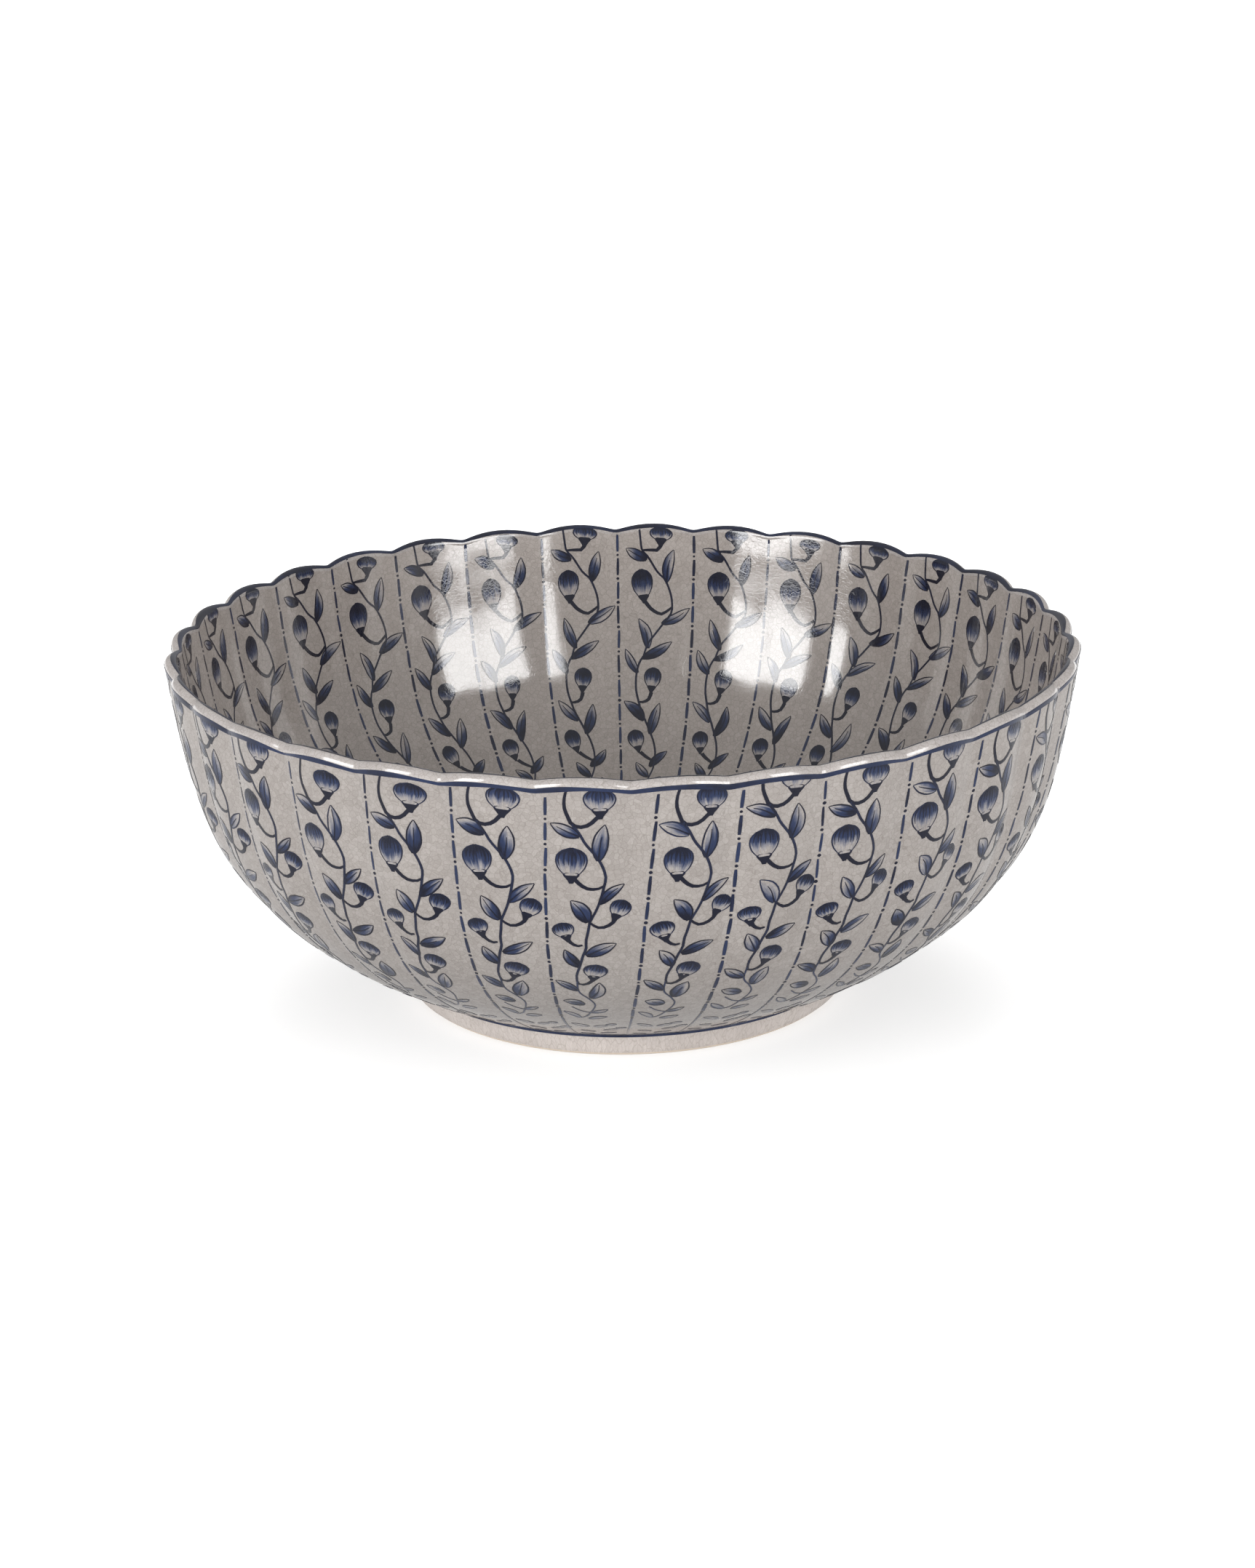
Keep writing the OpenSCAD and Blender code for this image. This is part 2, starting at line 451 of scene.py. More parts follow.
def foot_glaze_material():
    """The foot's glaze is paler, duller, and crackled in upright cells."""
    shader = Shader("foot_crackle_glaze")
    parts = shader.nodes.new("ShaderNodeSeparateXYZ")
    shader.links.new(shader.place, parts.inputs[0])
    turn = shader.math("ARCTAN2", parts.outputs["Y"], parts.outputs["X"])
    unrolled = shader.nodes.new("ShaderNodeCombineXYZ")
    shader.plug(unrolled.inputs[0], shader.math("MULTIPLY", turn, BASE_R * MM))
    shader.plug(unrolled.inputs[1], shader.math("MULTIPLY", parts.outputs["Z"], FOOT_CELL_SQUEEZE))
    cracks, tone = crackle(shader, unrolled.outputs[0], FOOT_CELL, FOOT_FINE_CELL)
    clouds = shader.remap(shader.noise(30, 3.0).outputs["Fac"], 0.3, 0.7)
    share = shader.math("MULTIPLY_ADD", tone, 0.4, shader.math("MULTIPLY", clouds, 0.5), clamp=True)
    base = shader.mix(share, FOOT_PALE, FOOT_DEEP)
    colour = shader.mix(shader.math("MULTIPLY", cracks, 0.45), base, FOOT_CRACK)
    shader.plug(shader.surface.inputs["Base Color"], colour)
    rough = shader.math("MULTIPLY_ADD", cracks, 0.12, 0.34)
    shader.plug(shader.surface.inputs["Roughness"], rough)
    shader.bump(shader.math("MULTIPLY", cracks, -1.0), 0.00005, 0.5)
    return shader.finish(ior=1.48)


def biscuit_material(name, pale, deep):
    """Fired clay without glaze: matt and finely grained."""
    shader = Shader(name)
    grain = shader.noise(1400, 4.0).outputs["Fac"]
    clouds = shader.noise(60, 3.0).outputs["Fac"]
    share = shader.math("MULTIPLY_ADD", grain, 0.5, shader.math("MULTIPLY", clouds, 0.5))
    shader.plug(shader.surface.inputs["Base Color"], shader.mix(share, pale, deep))
    shader.plug(shader.surface.inputs["Roughness"], shader.remap(grain, 0.3, 0.7, 0.72, 0.92))
    shader.bump(grain, 0.00008, 0.6)
    return shader.finish(ior=1.45)


outer_glaze = glaze_material("outer_crackle_glaze", OUTSIDE_PALE, OUTSIDE_DEEP)
inner_glaze = glaze_material("inner_crackle_glaze", GLAZE_PALE, GLAZE_DEEP, INSIDE_IOR)
lip_glaze = glaze_material("lip_crackle_glaze", srgb(164, 159, 156), srgb(150, 144, 141), 1.6)
base_glaze = glaze_material("base_crackle_glaze", srgb(168, 161, 155), srgb(155, 148, 141))
foot_glaze = foot_glaze_material()
porcelain = biscuit_material("porcelain_body", srgb(226, 221, 212), srgb(212, 205, 194))
bare_porcelain = biscuit_material("bare_foot_porcelain", srgb(214, 202, 188), srgb(190, 174, 156))
slip = biscuit_material("luting_slip", srgb(206, 197, 184), srgb(190, 180, 166))
wash_paint = {
    "outside": cobalt_material("cobalt_wash_outside", 0.7),
    "inside": cobalt_material("cobalt_wash_inside", 0.6, GLAZE_PALE, GLAZE_DEEP, INSIDE_IOR),
}
line_paint = {
    "outside": cobalt_material("cobalt_line_outside", 0.18),
    "inside": cobalt_material("cobalt_line_inside", 0.18, GLAZE_PALE, GLAZE_DEEP, INSIDE_IOR),
}

# ---------------------------------------------------------------- the bowl's skins
ANGLES = fluted_angles(16)
CORE_ANGLES = fluted_angles(8)
ROUND_ANGLES = np.arange(256) * 360 / 256
CORE_GAP = 0.02


def core_rows():
    """The pressed body, just under its coats of glaze."""
    depth = -(GLAZE_T + CORE_GAP)
    wall = profile_rows(np.concatenate([
        np.linspace(0.2, RIM_OUT, 30),
        np.linspace(RIM_OUT, RIM_IN, 9)[1:-1],
        np.linspace(RIM_IN, HEEL_IN, 30),
        np.linspace(HEEL_IN, MIDDLE, 14)[1:-1],
    ]), depth)
    under = plain_rows([[FOOT_R - GLAZE_T - CORE_GAP, FOOT_H]])
    return np.vstack([under, wall])


def make_skins():
    outside = swept_piece(
        "outer_glaze_skin", coat_rows(0, RIM_OUT, 72, 14), ANGLES, outer_glaze
    )
    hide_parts("outer_glaze")
    lip = swept_piece(
        "lip_glaze_band", coat_rows(RIM_OUT, RIM_IN, 15, 8), ANGLES, lip_glaze
    )
    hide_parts("lip_glaze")
    skin_s = np.concatenate([np.linspace(RIM_IN, HEEL_IN, 66), np.linspace(HEEL_IN, MIDDLE, 20)[1:-1]])
    under_s = np.concatenate([np.linspace(MIDDLE, HEEL_IN, 8)[1:], np.linspace(HEEL_IN, RIM_IN, 14)[1:]])
    rows = np.vstack([profile_rows(under_s, -GLAZE_T), profile_rows(skin_s)])
    middle = FOOT_H + FLOOR_T
    inside = swept_piece(
        "inner_glaze_skin", rows, ANGLES, inner_glaze, (middle - GLAZE_T, middle)
    )
    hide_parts("inner_glaze")
    core = swept_piece(
        "porcelain_core", core_rows(), CORE_ANGLES, porcelain,
        (FOOT_H, middle - GLAZE_T - CORE_GAP),
    )
    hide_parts("bowl_body")


def foot_side_r(z):
    return BASE_R + (FOOT_R - BASE_R) * z / FOOT_H


def make_foot():
    inner_r = BASE_R - RING_W
    ring_top = FOOT_H - SLIP_T
    ring = [[inner_r, ring_top], [foot_side_r(ring_top) - GLAZE_T, ring_top]]
    ring += quarter_arc((BASE_R - GLAZE_T - RING_ROUND, RING_ROUND), RING_ROUND, 0)
    ring += quarter_arc((inner_r + RING_ROUND, RING_ROUND), RING_ROUND, -90)
    foot = swept_piece(
        "foot_ring_porcelain", plain_rows(ring[::-1]), ROUND_ANGLES, bare_porcelain
    )
    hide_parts("foot_ring")
    low = RING_ROUND
    coat = [[foot_side_r(low) - GLAZE_T, low], [foot_side_r(low) - 0.15, low + 0.02]]
    coat += [[foot_side_r(low) - 0.02, low + 0.25], [foot_side_r(low + 0.6), low + 0.6]]
    coat += [[foot_side_r(z), z] for z in (4.0, 6.0, 8.0, FOOT_H)]
    coat += [[FOOT_R - GLAZE_T, FOOT_H]]
    glaze = swept_piece(
        "foot_glaze_skin", plain_rows(coat), ROUND_ANGLES, foot_glaze
    )
    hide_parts("foot_glaze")


make_skins()
make_foot()
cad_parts["luting_slip"].material_slots[0].material = slip
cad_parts["base_glaze"].material_slots[0].material = base_glaze


# ---------------------------------------------------------------- the painting
# A flute is about this many millimetres wide at the rim
FLUTE_WIDTH = 30


class Wall:
    """One side of the bowl as its painter sees it: across to the right and down from the rim."""

    def __init__(self, edge, down, turn, length, highest):
        self.edge = edge
        self.highest = highest
        self.down = down
        self.turn = turn
        self.length = length

    def along(self, depth):
        return self.edge + self.down * np.clip(depth, self.highest, self.length - 2.0)

    def radius(self, depth):
        return np.interp(self.along(depth), LENGTH, PROFILE[:, 0])


OUTSIDE = Wall(RIM_OUT, -1, 1, RIM_OUT, 0.2)
INSIDE = Wall(RIM_IN, 1, -1, HEEL_IN - RIM_IN, -1.6)


# The lines lean evenly over this depth below the rim
LEAN_SPAN = 140


class Panel:
    """The strip between two dotted lines. Across is in flute widths from its left line."""

    def __init__(self, wall, groove, lean_top, lean_low, raised):
        self.wall = wall
        self.groove = groove
        self.lean_top = lean_top
        self.lean_low = lean_low
        self.raised = raised

    def width(self, down):
        """Millimetres in a flute's width at a depth."""
        return np.radians(PITCH) * self.wall.radius(down - self.raised)

    def place(self, across, down):
        depth = down - self.raised
        share = np.clip(depth / LEAN_SPAN, 0, 1)
        line = self.groove + self.lean_top * (1 - share) + self.lean_low * share
        return line + self.wall.turn * across * PITCH, self.wall.along(depth)


def smooth_path(points, count):
    """Evenly spaced points on a smooth curve through the given ones."""
    points = np.array(points, float)
    ends = np.vstack([2 * points[0] - points[1], points, 2 * points[-1] - points[-2]])
    u = np.linspace(0, 1, 7)[:-1, None]
    fine = []
    for a, b, c, d in zip(ends, ends[1:], ends[2:], ends[3:]):
        bend = 2 * b + (c - a) * u + (2 * a - 5 * b + 4 * c - d) * u**2
        fine.append((bend + (3 * b - a - 3 * c + d) * u**3) / 2)
    fine = np.vstack([*fine, points[-1:]])
    steps = np.hypot(np.diff(fine[:, 0]) * FLUTE_WIDTH, np.diff(fine[:, 1]))
    length = np.concatenate([[0], np.cumsum(steps)])
    even = np.linspace(0, length[-1], count)
    return np.stack([np.interp(even, length, fine[:, 0]), np.interp(even, length, fine[:, 1])], axis=1)


def sideways(panel, path):
    """The step, in panel units, that moves one millimetre square to the path."""
    width = panel.width(path[:, 1])
    step = np.gradient(path, axis=0)
    x, y = step[:, 0] * width, step[:, 1]
    length = np.maximum(np.hypot(x, y), 1e-9)
    return np.stack([-y / length / width, x / length], axis=1)


def lay_colour(mesh, wash, brush):
    """Tell the cobalt material how much wash lies at each vertex, and where its brush went."""
    amount = mesh.attributes.new("wash", "FLOAT", "POINT")
    amount.data.foreach_set("value", wash.astype(np.float32))
    place = mesh.attributes.new("brush", "FLOAT_VECTOR", "POINT")
    place.data.foreach_set("vector", brush.astype(np.float32).ravel())


class Paint:
    """Brush marks on one wall, each a thin closed solid that stands just proud of the glaze."""

    SUNK = -0.16

    def __init__(self):
        self.angle, self.s, self.lift, self.wash, self.brush = [], [], [], [], []
        self.faces = []
        self.count = 0

    def add_points(self, panel, points, lift, wash, brush):
        angle, s = panel.place(points[..., 0].ravel(), points[..., 1].ravel())
        first = self.count
        self.angle.append(angle)
        self.s.append(s)
        self.lift.append(np.full(len(s), lift))
        self.wash.append(np.broadcast_to(wash, points.shape[:2]).ravel())
        self.brush.append(brush.reshape(-1, 3))
        self.count += len(s)
        return first

    def ribbon(self, panel, path, half_widths, columns, lift, wash, hairs, seed):
        """A band along a path. wash is a number, or an array of rows along by columns across."""
        rows = len(path)
        v = np.linspace(-1, 1, columns)
        side_step = sideways(panel, path)[:, None, :] * np.reshape(half_widths, (-1, 1, 1))
        top = path[:, None, :] + side_step * v[None, :, None]
        along = np.linspace(0, 1, rows)[:, None]
        brush = np.stack(np.broadcast_arrays(v[None, :] * hairs, along * 1.5, seed * 1.0), axis=-1)
        first = self.add_points(panel, top, lift, wash, brush)
        if columns == 2:
            low = path[:, None, :]
        else:
            low = top[:, [0, columns // 2, -1], :]
        low_brush = np.zeros((*low.shape[:2], 3))
        under = self.add_points(panel, low, self.SUNK, 0.5, low_brush)
        self.close(first, under, rows, columns, low.shape[1])

    def close(self, first, under, rows, columns, low_columns):
        i = np.arange(rows - 1)[:, None]
        j = np.arange(columns - 1)[None, :]
        a = first + i * columns + j
        quads = np.stack([a, a + 1, a + columns + 1, a + columns], axis=-1).reshape(-1, 4)
        self.faces += quads.tolist()
        i = i.ravel()
        left, right = first + i * columns, first + i * columns + columns - 1
        low_left, low_right = under + i * low_columns, under + i * low_columns + low_columns - 1
        sides = np.vstack([
            np.stack([left, left + columns, low_left + low_columns, low_left], axis=1),
            np.stack([right + columns, right, low_right, low_right + low_columns], axis=1),
        ])
        self.faces += sides.tolist()
        for k in range(low_columns - 1):
            a = low_left + k
            floor = [a, a + low_columns, a + low_columns + 1, a + 1]
            self.faces += np.stack(floor, axis=1).tolist()
        start = list(range(first + columns - 1, first - 1, -1))
        start += list(range(under, under + low_columns))
        top_end = first + (rows - 1) * columns
        low_end = under + (rows - 1) * low_columns
        end = list(range(top_end, top_end + columns))
        end += list(range(low_end + low_columns - 1, low_end - 1, -1))
        self.faces += [start, end]

    def make(self, name, material):
        angle, s = np.concatenate(self.angle), np.concatenate(self.s)
        points = on_surface(angle, s, np.concatenate(self.lift))
        piece = new_object(name, points.tolist(), self.faces, material)
        mesh = piece.data
        lay_colour(mesh, np.concatenate(self.wash), np.vstack(self.brush))
        mesh.normals_split_custom_set_from_vertices(surface_normals(angle, s).tolist())
        return piece


# How far the marks stand proud of the glaze: washes, lines over them, and the rim lines
FILL_LIFT = 0.06
LINE_LIFT = 0.10
RIM_LIFT = 0.14

# Half widths along a leaf and a bud, as shares of the length and of the greatest half width
LEAF_SHAPE = [(0, 0.2), (0.12, 0.62), (0.3, 0.95), (0.48, 1), (0.68, 0.86), (0.85, 0.52), (1, 0.03)]
BUD_SHAPE = [
    (0, 0.36), (0.1, 0.6), (0.25, 0.83), (0.42, 0.96), (0.58, 1), (0.74, 0.92), (0.87, 0.7),
    (0.95, 0.45), (1, 0.06)
]
# Where a bud's hairs lie across it, and its calyx as places along and half widths
COMB_PLACES = (-0.8, -0.5, -0.22, 0.08, 0.36, 0.62, 0.84)
CALYX_SHAPE = [(-2.6, 0.13), (-1.7, 0.22), (-0.9, 0.36), (-0.1, 0.50), (0.5, 0.55), (0.9, 0.35)]


def shape_at(shape, share):
    return np.interp(share, [x for x, _ in shape], [y for _, y in shape])


class Painter:
    """Paints one wall: washes in one piece, fine lines in another."""

    def __init__(self, seed, hand=None):
        self.hand = hand
        self.fills = Paint()
        self.lines = Paint()
        self.dice = random.Random(seed)

    def stroke(self, panel, points, start, end, wash=0.85, swell=0.0, step=2.2):
        """A line from half width start to half width end, fuller by swell in the middle."""
        length = sum(
            math.hypot((b[0] - a[0]) * FLUTE_WIDTH, b[1] - a[1]) for a, b in zip(points, points[1:])
        )
        count = max(4, int(length / step) + 2)
        share = np.linspace(0, 1, count)
        widths = start + (end - start) * share + swell * np.sin(share * math.pi)
        path = smooth_path(points, count)
        self.lines.ribbon(panel, path, widths, 2, LINE_LIFT, wash, 0.6, self.dice.uniform(0, 50))

    def outline(self, panel, path, widths, half_line, wash):
        edge = sideways(panel, path) * np.reshape(widths, (-1, 1))
        share = np.linspace(0, 1, len(path))
        for way in (-1, 1):
            taper = half_line * (0.55 + 0.45 * np.sin(share * math.pi))
            seed = self.dice.uniform(0, 50)
            self.lines.ribbon(panel, path + way * edge, taper, 2, LINE_LIFT, wash, 0.6, seed)

    def leaf(self, panel, base, tip, half_width, depth, vein=True):
        """A leaf, dark at its base and paler to its tip, with an outline and a vein."""
        dice = self.dice
        base, tip = np.array(base, float), np.array(tip, float)
        tip = tip + np.array([dice.uniform(-0.02, 0.02), dice.uniform(-0.6, 0.6)])
        half_width *= dice.uniform(0.80, 1.0)
        width = panel.width(base[1])
        axis = (tip - base) * [width, 1]
        bow = dice.uniform(-0.06, 0.10)
        middle = (base + tip) / 2 + np.array([-axis[1] / width, axis[0]]) * bow
        path = smooth_path([base, middle, tip], 10)
        share = np.linspace(0, 1, len(path))
        widths = half_width * shape_at(LEAF_SHAPE, share)
        v = np.linspace(-1, 1, 7)[None, :]
        depth = depth * dice.uniform(0.55, 1.25)
        fade = dice.uniform(0.75, 0.98)
        darker_half = dice.choice([-1, 1]) * dice.uniform(0.12, 0.36)
        wash = depth * (1 - fade * share[:, None]) ** 1.3 + darker_half * v * (1 - 0.3 * share[:, None])
        wash = np.clip(wash, 0.05, 1)
        self.fills.ribbon(panel, path, widths, 7, FILL_LIFT, wash, 2.2, dice.uniform(0, 50))
        line, line_wash = self.hand["leaf_line"]
        self.outline(panel, path, widths, line, min(1, line_wash * (0.5 + 0.6 * depth)))
        if vein:
            vein_path = path[: dice.choice([7, 8, 9])]
            taper = np.linspace(0.32, 0.12, len(vein_path))
            self.lines.ribbon(panel, vein_path, taper, 2, LINE_LIFT, line_wash, 0.6, 1.0)

    def bud(self, panel, base, top, half_width, depth):
        """A fan-shaped bud on a solid calyx, combed dark from its top and pale below."""
        dice = self.dice
        base, top = np.array(base, float), np.array(top, float)
        top = top + np.array([dice.uniform(-0.02, 0.02), dice.uniform(-0.4, 0.4)])
        half_width *= dice.uniform(0.93, 1.07)
        path = smooth_path([base, (base + top) / 2, top], 12)
        share = np.linspace(0, 1, len(path))
        widths = half_width * shape_at(BUD_SHAPE, share)
        v = np.linspace(-1, 1, 9)[None, :]
        edge = dice.uniform(0.08, 0.26) + 0.08 * v**2 + [[dice.uniform(-0.1, 0.1) for _ in v[0]]]
        rise = np.clip((share[:, None] - edge) / 0.8, 0, 1)
        wash = depth * (0.12 + 0.88 * rise**0.9)
        self.fills.ribbon(panel, path, widths, 9, FILL_LIFT, wash, 7.0, dice.uniform(0, 50))
        self.outline(panel, path, widths, *self.hand["bud_line"])
        self.comb(panel, path, widths)
        self.calyx(panel, base, top, half_width)

    def comb(self, panel, path, widths):
        """Short hairs of the brush that run down from the bud's top edge."""
        square = sideways(panel, path)
        for v in COMB_PLACES:
            v += self.dice.uniform(-0.06, 0.06)
            first = self.dice.choice([4, 5, 6])
            rows = slice(first, 11)
            hair = path[rows] + square[rows] * (v * widths[rows])[:, None]
            taper = np.linspace(0.08, 0.34, len(hair))
            self.lines.ribbon(panel, hair, taper, 2, LINE_LIFT, 0.92, 0.6, self.dice.uniform(0, 50))

    def calyx(self, panel, base, top, half_width):
        """A solid dark cup under the bud, drawn out into its tendril."""
        width = panel.width(base[1])
        axis = (top - base) * [width, 1]
        axis /= np.hypot(*axis)
        step = axis / [width, 1]
        size = 0.55 + 0.12 * half_width
        path = np.array([base + step * d * size for d, _ in CALYX_SHAPE])
        widths = half_width * np.array([w for _, w in CALYX_SHAPE])
        self.lines.ribbon(panel, path, widths, 2, LINE_LIFT, 1.0, 0.6, self.dice.uniform(0, 50))

    def dot(self, panel, across, down, radius=0.55, wash=0.95):
        share = np.linspace(-1, 1, 7)
        path = np.stack([np.full(7, across), down + share * radius], axis=1)
        widths = radius * np.sqrt(np.maximum(1 - share**2, 0.01))
        self.lines.ribbon(panel, path, widths, 2, LINE_LIFT, wash, 0.6, self.dice.uniform(0, 50))


# The vine of a panel: across in flute widths from the left line, down in millimetres from the rim.
# Buds and leaves are a base, a top and a half width. Strokes are plain leaves, with their depth
# of colour, that close the vine above the foot.
# Most of these places were measured from a picture of a real bowl by scratch scripts, then snapped
# to a grid of 0.02 across, and 0.5 down outside or 1 inside. They are not a free design.
OUTSIDE_VINE = {
    "tendrils": [
        [(0.24, -2), (0.2, 3), (0.2, 7), (0.24, 10.5), (0.28, 13), (0.36, 14), (0.46, 13), (0.56, 9.5)],
        [(0.62, 36), (0.56, 37), (0.46, 37), (0.38, 35.5), (0.32, 33.5)],
        [(0.48, 50.5), (0.56, 52.5), (0.64, 52.5), (0.72, 51), (0.76, 49)],
        [(0.4, 60.5), (0.36, 61), (0.28, 60), (0.24, 58)],
        [(0.32, 79.5), (0.34, 81.5), (0.42, 81.5), (0.48, 80), (0.52, 78)],
    ],
    "stems": [
        [(0.28, 13), (0.36, 16.5), (0.42, 20), (0.52, 24), (0.58, 27), (0.62, 30), (0.64, 33),
         (0.62, 37), (0.6, 40), (0.56, 44.5), (0.48, 50.5)],
        [(0.48, 50.5), (0.46, 55), (0.44, 58.5), (0.44, 62), (0.4, 66), (0.36, 71.5), (0.32, 76),
         (0.32, 80)],
    ],
    "thin_stems": [
        [(0.32, 80), (0.32, 85.5), (0.36, 88.5), (0.44, 91.5), (0.52, 96.5), (0.48, 102), (0.44, 104.5)],
        [(0.44, 104.5), (0.32, 103), (0.2, 99.5)],
        [(0.44, 104.5), (0.42, 106.5), (0.36, 109.5), (0.28, 111)],
    ],
    "buds": [
        ((0.56, 8), (0.56, 0), 5.4),
        ((0.28, 32), (0.26, 21.5), 5.0),
        ((0.76, 48), (0.84, 41.5), 3.5),
        ((0.22, 57), (0.16, 51), 3.8),
        ((0.52, 77), (0.58, 70), 3.9),
    ],
    "leaves": [
        ((0.36, 17.5), (0.04, 13), 2.5),
        ((0.56, 26.5), (0.6, 13.5), 3.0),
        ((0.58, 43), (0.84, 35.5), 2.1),
        ((0.46, 50.5), (0.28, 41.5), 2.7),
        ((0.44, 65.5), (0.78, 60.5), 2.5),
        ((0.36, 71.5), (0.2, 63), 2.5),
        ((0.32, 86), (0.06, 80), 2.1),
        ((0.48, 91.5), (0.58, 81), 2.9),
        ((0.38, 97), (0.12, 94), 2.5),
    ],
    "strokes": [
        ((0.44, 104.5), (0.68, 101), 1.3, 0.8),
        ((0.28, 111), (0.08, 105), 1.4, 0.55),
        ((0.4, 112), (0.66, 109.5), 1.6, 0.6),
        ((0.8, 120), (0.64, 121.5), 1.3, 0.4),
        ((0.36, 125), (0.1, 120.5), 1.5, 0.45),
        ((0.44, 125), (0.66, 122), 1.4, 0.45),
        ((0.96, 127), (0.76, 129), 1.4, 0.4),
        ((0.58, 133), (0.82, 129.5), 1.5, 0.4),
        ((0.42, 137), (0.16, 134), 1.4, 0.38),
        ((0.5, 142), (0.78, 139), 1.3, 0.34),
        ((0.36, 146), (0.1, 143.5), 1.2, 0.34),
    ],
}
INSIDE_VINE = {
    "tendrils": [
        [(0.32, 8), (0.42, 8), (0.52, 8), (0.58, 5)],
        [(0.72, 31), (0.64, 33), (0.56, 34), (0.44, 32), (0.36, 29)],
        [(0.28, 70), (0.34, 70), (0.42, 69), (0.46, 66)],
        [(0.56, 96), (0.52, 96), (0.4, 94), (0.32, 92)],
        [(0.36, 117), (0.42, 120), (0.5, 119), (0.56, 117)],
    ],
    "stems": [
        [(0.28, -2), (0.3, 4), (0.32, 8), (0.4, 11), (0.52, 17), (0.62, 20), (0.7, 26), (0.72, 31),
         (0.7, 34), (0.6, 38), (0.5, 42), (0.4, 46), (0.34, 51)],
        [(0.34, 51), (0.28, 54), (0.24, 59), (0.24, 65), (0.28, 70), (0.32, 74), (0.4, 79), (0.46, 83),
         (0.52, 87), (0.56, 92), (0.56, 96)],
    ],
    "thin_stems": [
        [(0.56, 96), (0.54, 100), (0.48, 104), (0.4, 109), (0.36, 114), (0.36, 118), (0.4, 123),
         (0.48, 128)],
    ],
    "buds": [
        ((0.56, 4), (0.56, -1), 4.6),
        ((0.34, 27), (0.32, 16), 4.2),
        ((0.46, 64), (0.5, 56), 3.4),
        ((0.28, 90), (0.22, 82), 3.2),
        ((0.56, 115), (0.6, 108), 2.8),
    ],
    "leaves": [
        ((0.38, 12), (0.12, 7), 2.2),
        ((0.64, 21), (0.74, 8), 2.3),
        ((0.58, 38), (0.96, 31), 2.1),
        ((0.4, 48), (0.26, 36), 2.1),
        ((0.32, 52), (0.72, 45), 1.9),
        ((0.26, 58), (0.08, 48), 1.9),
        ((0.36, 78), (0.08, 69), 2.2),
        ((0.46, 84), (0.6, 71), 2.1),
        ((0.48, 99), (0.76, 91), 1.9),
        ((0.46, 104), (0.24, 97), 1.8),
        ((0.4, 110), (0.68, 104), 1.7),
        ((0.36, 118), (0.14, 111), 1.7),
    ],
    "strokes": [
        ((0.44, 125), (0.2, 121), 1.5, 0.7),
        ((0.46, 129), (0.72, 125), 1.4, 0.6),
        ((0.5, 135), (0.26, 132), 1.3, 0.5),
        ((0.52, 140), (0.76, 137), 1.2, 0.4),
    ],
}
# The looks of the two vines: the depth of colour of leaves and buds; tendrils, stems and thin stems
# as half widths at their start and end and a depth of colour; the outlines of leaves and of buds as
# a half width and a depth; and where the panel lines start below the rim and how wide they are
OUTSIDE_HAND = {
    "depth": 1.05,
    "tendrils": (0.38, 0.70, 1.0), "stems": (0.44, 0.40, 0.86), "thin_stems": (0.32, 0.24, 0.7),
    "leaf_line": (0.29, 0.95), "bud_line": (0.24, 0.85),
    "line_start": (1.2, 3.0), "line_width": 1.1,
}
INSIDE_HAND = {
    "depth": 1.2,
    "tendrils": (0.40, 0.76, 1.0), "stems": (0.38, 0.36, 0.9), "thin_stems": (0.32, 0.26, 0.85),
    "leaf_line": (0.26, 0.95), "bud_line": (0.24, 0.9),
    "line_start": (-0.5, 0.5), "line_width": 1.25,
}

# How far, in degrees, a panel's left line stands to the right of its groove at the rim, from the
# one left of the front to the one at the right: the painter's hand wanders by up to a few degrees.
# These three tables were measured from that picture too, and rounded.
FRONT_LEANS = {
    19: 1.0, 20: 1.0, 21: 1.5, 22: 1.5, 23: 1.5, 24: 3.0, 25: 1.5, 26: 0.5, 27: 1.0, 28: 1.5,
    29: 3.0, 30: 3.5
}
# The same at the foot
FRONT_LOW_LEANS = {22: 0.0, 23: -1.0, 24: -1.0, 25: -0.5}
# How many millimetres higher than the middle front panel's a panel's vine stands
FRONT_RAISES = {20: -3.0, 21: -2.0, 22: -0.5, 23: 0.0, 24: 0.0, 25: 4.0, 26: 0.5, 27: 2.0}


def paint_vine(painter, panel, vine):
    for kind, swell in (("tendrils", 0.08), ("stems", 0.04), ("thin_stems", 0.0)):
        start, end, wash = painter.hand[kind]
        for path in vine[kind]:
            painter.stroke(panel, path, start, end, wash, swell=swell, step=1.9)
    for base, tip, half_width in vine["leaves"]:
        painter.leaf(panel, base, tip, half_width, painter.hand["depth"])
    for base, top, half_width in vine["buds"]:
        painter.bud(panel, base, top, half_width, painter.hand["depth"])
    for base, tip, half_width, depth in vine["strokes"]:
        painter.leaf(panel, base, tip, half_width, depth, vein=False)


# The dotted lines, in millimetres: a dash, the gap beside it, a dot's radius, and where they end
DASH = 7.2
DASH_GAP = 0.85
DOT = 0.58
DOTTED_END = 108


def paint_line(painter, panel, start, end, width):
    """A line of dashes with a dot between each two, thin and unbroken near the foot."""
    dice = painter.dice
    brush = width * dice.uniform(0.8, 1.25)
    down = start
    while down < DOTTED_END:
        reach = down + DASH * dice.uniform(0.92, 1.05)
        wander = dice.uniform(-0.010, 0.010)
        painter.stroke(panel, [(wander, down), (wander / 2, (down + reach) / 2), (0, reach)],
                       0.34 * brush, 0.38 * brush, dice.uniform(0.6, 0.9), swell=0.14)
        painter.dot(panel, 0.0, reach + DASH_GAP + DOT, DOT * dice.uniform(0.8, 1.15))
        down = reach + 2 * (DASH_GAP + DOT)
    painter.stroke(panel, [(0, down), (0, (down + end) / 2), (0, end)], 0.36, 0.24, 0.6)


